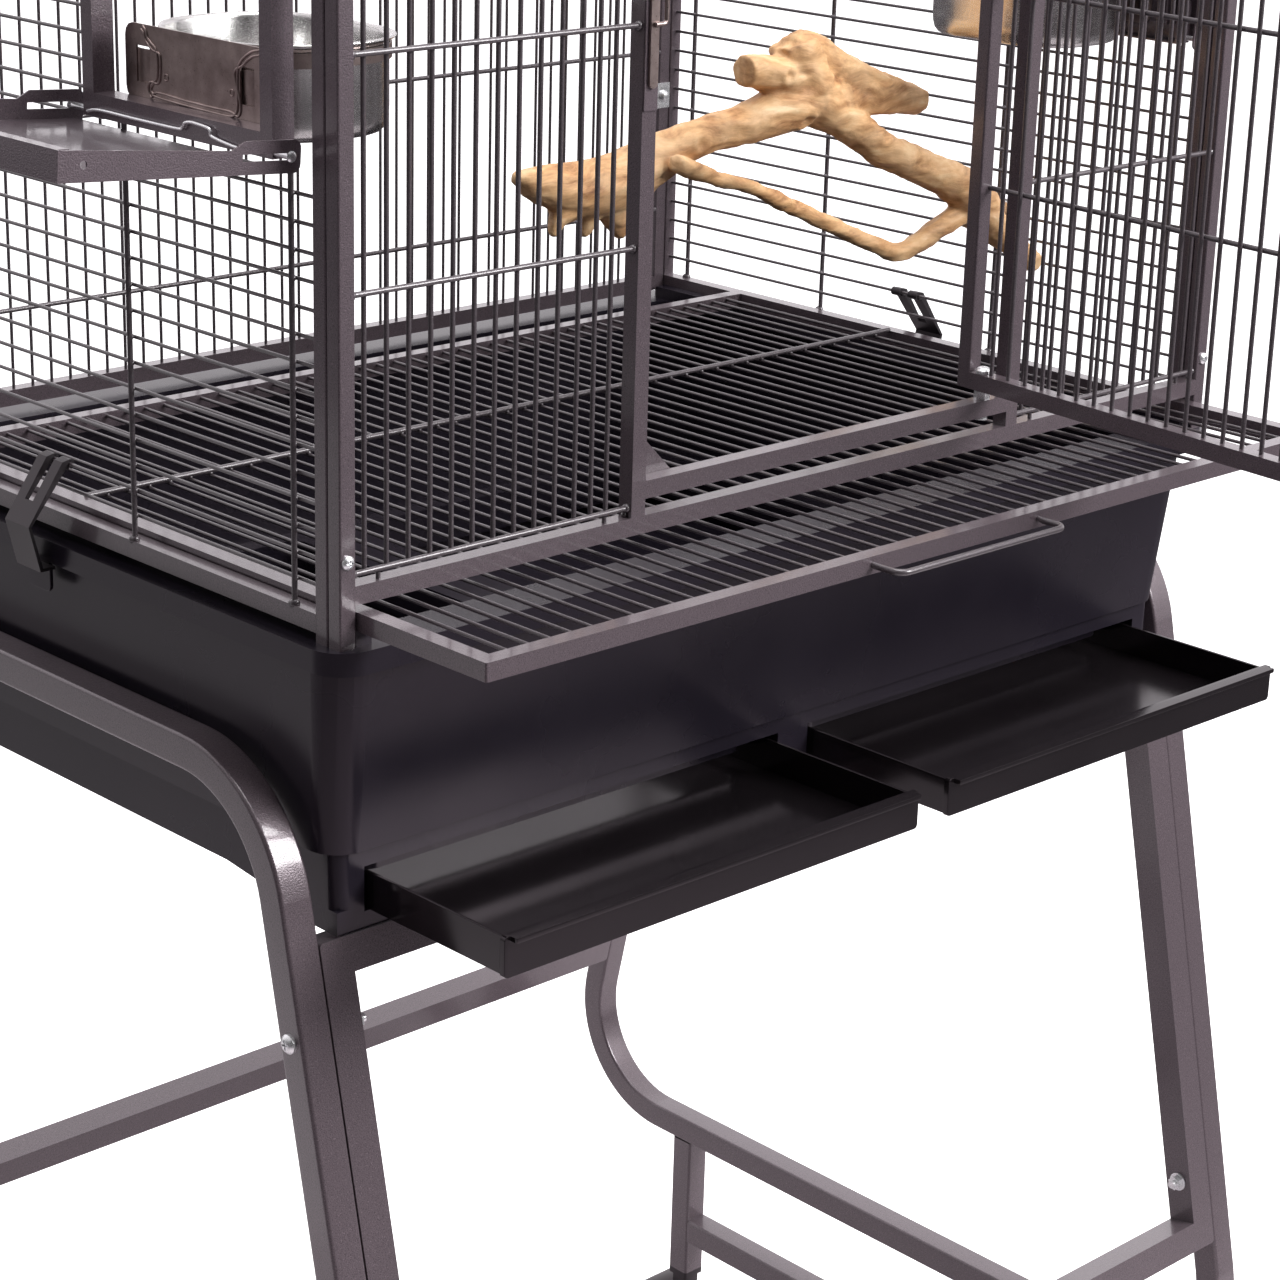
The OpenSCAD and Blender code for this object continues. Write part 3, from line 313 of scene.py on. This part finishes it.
def smooth_group():
    g = bpy.data.node_groups.new("smooth_by_angle", "GeometryNodeTree")
    g.interface.new_socket("Geometry", in_out="INPUT", socket_type="NodeSocketGeometry")
    g.interface.new_socket("Geometry", in_out="OUTPUT", socket_type="NodeSocketGeometry")
    gi = g.nodes.new("NodeGroupInput")
    go = g.nodes.new("NodeGroupOutput")
    ang = g.nodes.new("GeometryNodeInputMeshEdgeAngle")
    cmp_ = g.nodes.new("FunctionNodeCompare")
    cmp_.data_type = "FLOAT"
    cmp_.operation = "GREATER_THAN"
    cmp_.inputs[1].default_value = math.radians(36)
    s1 = g.nodes.new("GeometryNodeSetShadeSmooth")
    s1.domain = "FACE"
    s1.inputs["Shade Smooth"].default_value = True
    s2 = g.nodes.new("GeometryNodeSetShadeSmooth")
    s2.domain = "EDGE"
    s2.inputs["Shade Smooth"].default_value = False
    g.links.new(ang.outputs["Unsigned Angle"], cmp_.inputs[0])
    g.links.new(gi.outputs[0], s1.inputs["Geometry"])
    g.links.new(s1.outputs[0], s2.inputs["Geometry"])
    g.links.new(cmp_.outputs[0], s2.inputs["Selection"])
    g.links.new(s2.outputs[0], go.inputs[0])
    return g


SMOOTH = smooth_group()
bevels = {
    "tub": 0.0016, "drawer_left": 0.0008, "drawer_right": 0.0008,
    "landing_tray_left": 0.0004, "landing_tray_right": 0.0004,
    "tub_clip_left": 0.0006, "tub_clip_right": 0.0006,
}
for name, ob in frame["nodes"].items():
    mt = by_slot.get(slot_of.get(name), M_tube)
    if name in wire_nodes:
        mt = M_wire
    if name.startswith(("landing", "feeder")) or name == "door_latch_plate":
        mt = M_tray
    ob.data.materials.clear()
    ob.data.materials.append(mt)
    for p in ob.data.polygons:
        p.material_index = 0
    if "custom_normal" in ob.data.attributes:
        ob.data.attributes.remove(ob.data.attributes["custom_normal"])
    w = ob.modifiers.new("weld", "WELD")
    w.merge_threshold = 0.000002
    if name in bevels:
        bv = ob.modifiers.new("bevel", "BEVEL")
        bv.width = bevels[name]
        bv.segments = 2
        bv.limit_method = "ANGLE"
        bv.angle_limit = math.radians(50)
        bv.use_clamp_overlap = True
    g = ob.modifiers.new("smooth", "NODES")
    g.node_group = SMOOTH
    if name in bevels or "frame" in name or name.startswith("bowl_holder"):
        wn = ob.modifiers.new("weighted", "WEIGHTED_NORMAL")
        wn.keep_sharp = True
        wn.weight = 100

# --------------------------------------------------------------- helpers


def link(name, me, mt, body, smooth=True):
    ob = bpy.data.objects.new(name, me)
    scene.collection.objects.link(ob)
    me.materials.append(mt)
    for p in me.polygons:
        p.use_smooth = smooth
    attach(ob, body)
    return ob


def tube_into(bm, pts, radii, seg=14, cap=True):
    """A tube of circles along pts, with rotation kept minimal."""
    rings = []
    prev = None
    for i, p in enumerate(pts):
        a = pts[max(i - 1, 0)]
        c = pts[min(i + 1, len(pts) - 1)]
        tan = (c - a).normalized()
        if prev is None:
            side = tan.orthogonal().normalized()
        else:
            side = (prev - tan * prev.dot(tan)).normalized()
        prev = side
        up = tan.cross(side)
        rr = radii[i] if isinstance(radii, (list, tuple)) else radii
        ring = [bm.verts.new(p + (side * math.cos(k * 2 * math.pi / seg) + up * math.sin(k * 2 * math.pi / seg)) * rr) for k in range(seg)]
        rings.append(ring)
    for q, s in zip(rings, rings[1:]):
        for k in range(seg):
            bm.faces.new((q[k], q[(k + 1) % seg], s[(k + 1) % seg], s[k]))
    if cap:
        bm.faces.new(list(reversed(rings[0])))
        bm.faces.new(rings[-1])
    return rings


def catmull(pts, n):
    res = []
    for i in range(len(pts) - 1):
        p0, p1, p2, p3 = pts[max(i - 1, 0)], pts[i], pts[i + 1], pts[min(i + 2, len(pts) - 1)]
        for k in range(n):
            t = k / n
            res.append(tuple(0.5 * ((2 * b) + (c - a) * t + (2 * a - 5 * b + 4 * c - e) * t * t + (-a + 3 * b - 3 * c + e) * t ** 3) for a, b, c, e in zip(p0, p1, p2, p3)))
    res.append(tuple(pts[-1]))
    return res


# --------------------------------------------------------------- perch
chains = [
    [(346, 236, 184, 6.3), (357, 235, 180, 11.9), (373, 234, 176, 15.5), (393, 233, 171, 19.2), (419, 232, 171, 21.4), (442, 230, 175, 20.1), (470, 228, 187, 17.2), (513, 226, 198, 14.0), (552, 224, 203, 15.2), (591, 221, 211, 17.8), (623, 219, 219, 20.0)],
    [(616, 220, 228, 18.0), (584, 222, 238, 14.4), (566, 223, 242, 13.2), (552, 223, 243, 12.0)],
    [(620, 219, 223, 20.0), (614, 222, 238, 20.6), (608, 224, 251, 20.0), (606, 225, 260, 18.4)],
    [(610, 224, 250, 18.4), (634, 227, 245, 17.0), (660, 227, 233, 16.0), (697, 225, 216, 15.8), (722, 223, 210, 14.0), (742, 222, 205, 11.6), (750, 221, 203, 10.5)],
    [(623, 219, 222, 19.0), (657, 221, 214, 13.0), (695, 222, 209, 11.5), (722, 222, 206, 11.0)],
    [(623, 219, 217, 20.3), (659, 217, 196, 14.8), (695, 215, 175, 13.6), (733, 213, 159, 13.2), (771, 210, 143, 14.6), (802, 208, 124, 19.0), (815, 207, 107, 17.6)],
    [(808, 206, 114, 17.0), (822, 192, 94, 11.9), (826, 174, 82, 9.4), (826, 157, 76, 7.0)],
    [(464, 200, 188, 6.4), (478, 204, 183, 6.8), (514, 208, 170, 6.2), (554, 211, 158, 5.9), (616, 211, 131, 6.4), (681, 210, 104, 6.6), (718, 209, 90, 7.9), (752, 209, 99, 8.2), (785, 209, 110, 9.4), (803, 208, 117, 11.4)],
    [(396, 233, 164, 14.2), (379, 230, 153, 8.5), (373, 228, 145, 5.7)],
    [(412, 233, 160, 12.0), (408, 232, 149, 8.4), (404, 231, 141, 5.2)],
    [(425, 231, 161, 14.0), (430, 229, 148, 9.4), (436, 228, 137, 5.6)],
    [(446, 230, 166, 15.6), (452, 229, 150, 9.6), (455, 228, 139, 6.0)],
]
blunt = {1: (-1,), 2: (-1,), 3: (-1,), 6: (-1,), 7: (0,)}


def build_perch():
    bm = bmesh.new()
    for ci, ch in enumerate(chains):
        q = catmull(ch, 7)
        pts = [G(a, b, c) for a, b, c, _ in q]
        rad = [e / 1000 for *_, e in q]
        tube_into(bm, pts, rad, 20)
        for end in (0, -1):
            if end in blunt.get(ci, ()):
                continue
            bmesh.ops.create_icosphere(bm, subdivisions=2, radius=rad[end] * 0.93, matrix=Matrix.Translation(pts[end]))
    me = bpy.data.meshes.new("perch_raw")
    bm.to_mesh(me)
    bm.free()
    ob = bpy.data.objects.new("perch_raw", me)
    scene.collection.objects.link(ob)
    rm = ob.modifiers.new("remesh", "REMESH")
    rm.mode = "VOXEL"
    rm.voxel_size = 0.0019
    sm = ob.modifiers.new("smooth", "SMOOTH")
    sm.factor = 0.5
    sm.iterations = 3
    dg = bpy.context.evaluated_depsgraph_get()
    me2 = bpy.data.meshes.new_from_object(ob.evaluated_get(dg))
    bpy.data.objects.remove(ob)
    me2.name = "perch"
    me2.materials.clear()
    me2.update()
    no = [v.normal.copy() for v in me2.vertices]
    knots = [(G(500, 212, 196), 9.0), (G(690, 203, 184), 8.0), (G(604, 204, 203), 10.0), (G(586, 208, 238), 7.0)]
    for v, n in zip(me2.vertices, no):
        p = v.co * 1000
        big = noise.noise(Vector((p.x / 38, p.y / 26, p.z / 26))) * 1.8
        ridge = abs(noise.noise(Vector((p.x / 34, p.y / 9, p.z / 9)) + Vector((5, 1, 2)))) * -2.4
        fine = noise.noise(p / 5) * 0.3
        kn = 0.0
        for kp, kr in knots:
            q = (v.co - kp).length * 1000 / kr
            if q < 1.6:
                kn += 1.3 * math.exp(-((q - 0.75) / 0.3) ** 2) - 1.5 * math.exp(-(q / 0.4) ** 2)
        v.co += n * (big + ridge + 0.6 + fine + kn) / 1000
    ob = link("perch_wood", me2, M_wood, "cage")
    return ob


perch = build_perch()
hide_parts("perch")

# --------------------------------------------------------------- weld beads


def beads(name, pts, rad, body, mt=M_wire):
    me = bpy.data.meshes.new(name)
    bm = bmesh.new()
    for p in pts:
        q = 1 + 0.18 * (random.random() - 0.5)
        mtx = Matrix.Translation(p) @ Matrix.Diagonal((*[rad / 1000 * q * s for s in (1, 1, 1)], 1))
        bmesh.ops.create_icosphere(bm, subdivisions=2, radius=1.0, matrix=mtx)
    bm.to_mesh(me)
    bm.free()
    return link(name, me, mt, body)


pts = []
for z in (18.2, 187, 325, 463, 601):
    for x in (12.6, 236.2, 620.0, 832.4):
        pts.append(G(x, 4.2, z))
        pts.append(G(x, 5.4, z - 1.2))
beads("front_cross_welds", pts, 3.0, "cage")
pts = []
grate_lo, grate_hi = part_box("grate_wires")
gx0, gx1 = 25.2, W - 25.2
ny = 46
step = (gx1 - gx0) / (ny + 1)
for i in range(1, ny + 1):
    pts.append(G(gx0 + i * step, 304, -6.3))
beads("grate_welds", pts, 2.1, "grate")
pts = []
for side in (0, 1):
    for y in (47, 214, 404, 568):
        for k in range(0, 43):
            z = 7.3 + 16.71 * k
            if z > 735 or (y < 230 and 256 < z < 446):
                continue
            x = 3.3 if side == 0 else W - 3.3
            pts.append(G(x, y, z))
beads("side_welds", pts, 1.9, "cage")
pts = []
for x in (2.2, W - 2.2):
    for y in (47, 214, 404, 568):
        pts += [G(x, y, -8.4), G(x - 0.4, y + 1.6, -8.7), G(x, y, H_TOP)]
beads("side_foot_welds", pts, 3.1, "cage")
beads("front_foot_welds", [G(x, 6.0, 13.2) for x in (12.8, 236.0, 620.2, 832.2)], 2.2, "cage")
pts = []
for z in (52, 191, 329, 467, 605):
    for i in range(1, 47):
        pts.append(G(18.4 + 16.92 * i, D - 10.1, z))
beads("rear_welds", pts, 1.8, "cage")

# --------------------------------------------------------------- bowls


def rr_ring(bm, x0, y0, x1, y1, rad, z, n=9):
    vs = []
    for q, (cx, cy) in enumerate(((x1 - rad, y1 - rad), (x0 + rad, y1 - rad), (x0 + rad, y0 + rad), (x1 - rad, y0 + rad))):
        for k in range(n + 1):
            a = math.pi / 2 * (q + k / n)
            vs.append(bm.verts.new(G(cx + rad * math.cos(a), cy + rad * math.sin(a), z)))
    return vs


def loft(bm, rings):
    for a, b in zip(rings, rings[1:]):
        n = len(a)
        for k in range(n):
            bm.faces.new((a[k], a[(k + 1) % n], b[(k + 1) % n], b[k]))


def bowl(name, mirror, body, node_):
    bm = bmesh.new()

    def ring(x0, y0, x1, y1, rad, z):
        if mirror:
            x0, x1 = W - x1, W - x0
        return rr_ring(bm, x0, y0, x1, y1, rad, z, 14)

    prof = [
        (17.6, 83.1, 115.7, 208.4, 40, 260.5), (14.2, 79.7, 119.2, 211.8, 43.4, 261.8), (11.6, 77.1, 121.7, 214.4, 46, 264.8),
        (10.2, 75.7, 123.1, 215.8, 47.4, 270), (9.7, 75.2, 123.6, 216.3, 48, 276), (9.7, 75.2, 123.6, 216.3, 48, 315.6),
        (9.3, 74.2, 124.6, 217.3, 48.6, 317.2), (8.8, 71.6, 127.2, 219.9, 51.4, 317.6), (8.7, 70.9, 128.1, 220.6, 52.4, 318.1),
        (8.7, 70.8, 128.2, 220.7, 52.5, 318.7), (8.9, 71.2, 127.8, 220.3, 52.1, 319.4), (9.6, 72.8, 126.2, 218.7, 50.6, 319.6),
        (10.4, 75.4, 123.4, 216.1, 47.8, 318.9), (10.7, 76.3, 122.5, 215.2, 47, 316.4), (10.7, 76.3, 122.5, 215.2, 47, 276),
        (11.3, 76.8, 122.0, 214.7, 46.4, 270.3), (12.8, 78.3, 120.5, 213.2, 44.9, 265.4), (15.4, 80.9, 118, 210.6, 42.3, 262.8), (19, 84.5, 114.3, 207, 38.8, 261.7),
    ]
    rings = [ring(*p) for p in prof]
    loft(bm, rings)
    bm.faces.new(list(reversed(rings[0])))
    bm.faces.new(rings[-1])
    bmesh.ops.recalc_face_normals(bm, faces=bm.faces)
    me = bpy.data.meshes.new(name)
    bm.to_mesh(me)
    bm.free()
    ob = link(name, me, M_steel, body)
    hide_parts(node_)
    return ob


bowl("feed_bowl_left", False, "bowl_l", "bowl_left")
bowl("feed_bowl_right", True, "bowl_r", "bowl_right")

# ------------------------------------------ bowl holders: pressed ridges, straps
ridge_path = [
    (198, 319.2), (194.6, 316.6), (192.8, 312.4), (189.4, 309.9), (185.4, 307.4), (183.2, 303), (183.2, 292), (185.2, 288), (189.0, 284.4),
    (190.4, 281.9), (188.6, 279.4), (184, 277.9), (158.4, 276.9), (130.6, 276.4), (110, 276.4), (104.4, 279.2), (102.8, 285),
    (102.6, 302), (100.0, 309.0), (94.4, 313.6), (87.8, 317), (81, 318.4),
]


def inset(path, dist, cy=145.0, cz=297.0):
    res = []
    for i, (y, z) in enumerate(path):
        a_, c_ = path[max(i - 1, 0)], path[min(i + 1, len(path) - 1)]
        ty_, tz_ = c_[0] - a_[0], c_[1] - a_[1]
        n_ = math.hypot(ty_, tz_)
        ny_, nz_ = -tz_ / n_, ty_ / n_
        if ny_ * (cy - y) + nz_ * (cz - z) < 0 and not (z > 303 or (abs(z - 284) < 9 and (y > 186 or y < 106))):
            ny_, nz_ = -ny_, -nz_
        elif z > 303 or (abs(z - 284) < 9 and (y > 186 or y < 106)):
            ny_, nz_ = tz_ / n_ * -1, ty_ / n_
        res.append((y + ny_ * dist, z + nz_ * dist))
    return res


def holder_details(name, mirror):
    bm = bmesh.new()

    def X(x):
        return W - x if mirror else x

    for k, dist in enumerate((0.0, 2.8)):
        path = ridge_path if k == 0 else inset(ridge_path, dist)
        q = catmull([(y, z) for y, z in path], 5)
        tube_into(bm, [G(X(6.55), y, z) for y, z in q], 0.85 / 1000, 10)
    # straps pressed out behind the slots
    for y0 in (86.5, 191.0):
        n_ = 10
        rows = []
        for z in (281.0, 283.4, 304.0, 305.2):
            rows.append([bm.verts.new(G(X(9.6 - 1.5 * math.sin(math.pi * k / n_)), y0 - 2 + 20 * k / n_, z)) for k in range(n_ + 1)])
        for r0, r1 in zip(rows, rows[1:]):
            for k in range(n_):
                bm.faces.new((r0[k], r0[k + 1], r1[k + 1], r1[k]))
    # two small pressed dimples
    for y, z in ((174.5, 290.8), (108.6, 290.4)):
        ring = catmull([(y + 2.0 * math.cos(a_), z + 2.0 * math.sin(a_)) for a_ in [i * math.pi / 4 for i in range(9)]], 3)
        tube_into(bm, [G(X(6.6), y_, z_) for y_, z_ in ring], 0.45 / 1000, 8)
    bmesh.ops.recalc_face_normals(bm, faces=bm.faces)
    me = bpy.data.meshes.new(name)
    bm.to_mesh(me)
    bm.free()
    ob = link(name, me, M_galv, "cage")
    sol = ob.modifiers.new("weld", "WELD")
    sol.merge_threshold = 0.000002
    return ob


holder_details("holder_ridges_left", False)
holder_details("holder_ridges_right", True)


def hinge_wire(name, mirror):
    bm = bmesh.new()
    path = [
        (-11.4, 233, 264.6), (-11.6, 219, 266.8), (-11.6, 179.5, 266.7), (-11.6, 138.5, 266.9), (-11.6, 133.5, 268.4), (-11.6, 130.7, 271.4),
        (-11.6, 124.5, 272.6), (-11.6, 118.2, 272.4), (-11.6, 108, 271.6), (-11.6, 105.2, 269.6), (-11.6, 103.6, 267.0), (-11.6, 84.1, 264.4), (-11.5, 62, 263.4),
    ]
    q = catmull(path, 6)
    tube_into(bm, [G(W - x if mirror else x, y, z) for x, y, z in q], 1.0 / 1000, 12)
    me = bpy.data.meshes.new(name)
    bm.to_mesh(me)
    bm.free()
    return link(name, me, M_zinc, "cage")


hinge_wire("tray_wire_left", False)
hinge_wire("tray_wire_right", True)


def rim_tab(name, mirror):
    bm = bmesh.new()
    outline = [(296, -40), (296, -58)] + [(301 + 5 * math.cos(a_), -58 + 5 * math.sin(a_)) for a_ in [math.pi + i * math.pi / 12 for i in range(1, 7)]]
    outline += [(317 + 5 * math.cos(a_), -58 + 5 * math.sin(a_)) for a_ in [1.5 * math.pi + i * math.pi / 12 for i in range(0, 7)]] + [(322, -40)]
    sides = []
    for x in (-9.9, -7.4):
        sides.append([bm.verts.new(G(W - x if mirror else x, y, z)) for y, z in outline])
    bm.faces.new(sides[0])
    bm.faces.new(list(reversed(sides[1])))
    n_ = len(outline)
    for k in range(n_):
        bm.faces.new((sides[0][k], sides[0][(k + 1) % n_], sides[1][(k + 1) % n_], sides[1][k]))
    bmesh.ops.recalc_face_normals(bm, faces=bm.faces)
    me = bpy.data.meshes.new(name)
    bm.to_mesh(me)
    bm.free()
    ob = link(name, me, M_tub, "cage", smooth=False)
    bv = ob.modifiers.new("bevel", "BEVEL")
    bv.width = 0.0005
    bv.segments = 2
    bv.limit_method = "ANGLE"
    return ob


rim_tab("rim_tab_left", False)
rim_tab("rim_tab_right", True)

# --------------------------------------------------------------- floor
me = bpy.data.meshes.new("floor")
bm = bmesh.new()
c = Vector((0, 0, 0))
vs = [bm.verts.new((x, y, -0.0005)) for x, y in ((-14, -14), (14, -14), (14, 14), (-14, 14))]
bm.faces.new(vs)
bm.to_mesh(me)
bm.free()
floor = bpy.data.objects.new("floor", me)
scene.collection.objects.link(floor)
mt, t, b, co = new_mat("floor_white")
b.inputs["Base Color"].default_value = (0.9, 0.9, 0.9, 1)
b.inputs["Roughness"].default_value = 0.7
b.inputs["Specular IOR Level"].default_value = 0.1
b.inputs["Emission Color"].default_value = (1, 1, 1, 1)
b.inputs["Emission Strength"].default_value = 0.66
dim = node(t, "ShaderNodeBsdfDiffuse")
away = node(t, "ShaderNodeVectorMath", operation="LENGTH")
t.links.new(co, away.inputs[0])
t.links.new(ramp(t, remap(t, away.outputs["Value"], 0.0, 4.0, 0, 1), [(0.30, (0.52, 0.48, 0.50)), (0.62, (0.10, 0.095, 0.10))]), dim.inputs["Color"])
seen = node(t, "ShaderNodeLightPath")
pick = node(t, "ShaderNodeMixShader")
t.links.new(seen.outputs["Is Camera Ray"], pick.inputs[0])
t.links.new(dim.outputs[0], pick.inputs[1])
t.links.new(b.outputs[0], pick.inputs[2])
t.links.new(pick.outputs[0], [n for n in t.nodes if n.type == "OUTPUT_MATERIAL"][0].inputs[0])
me.materials.append(mt)
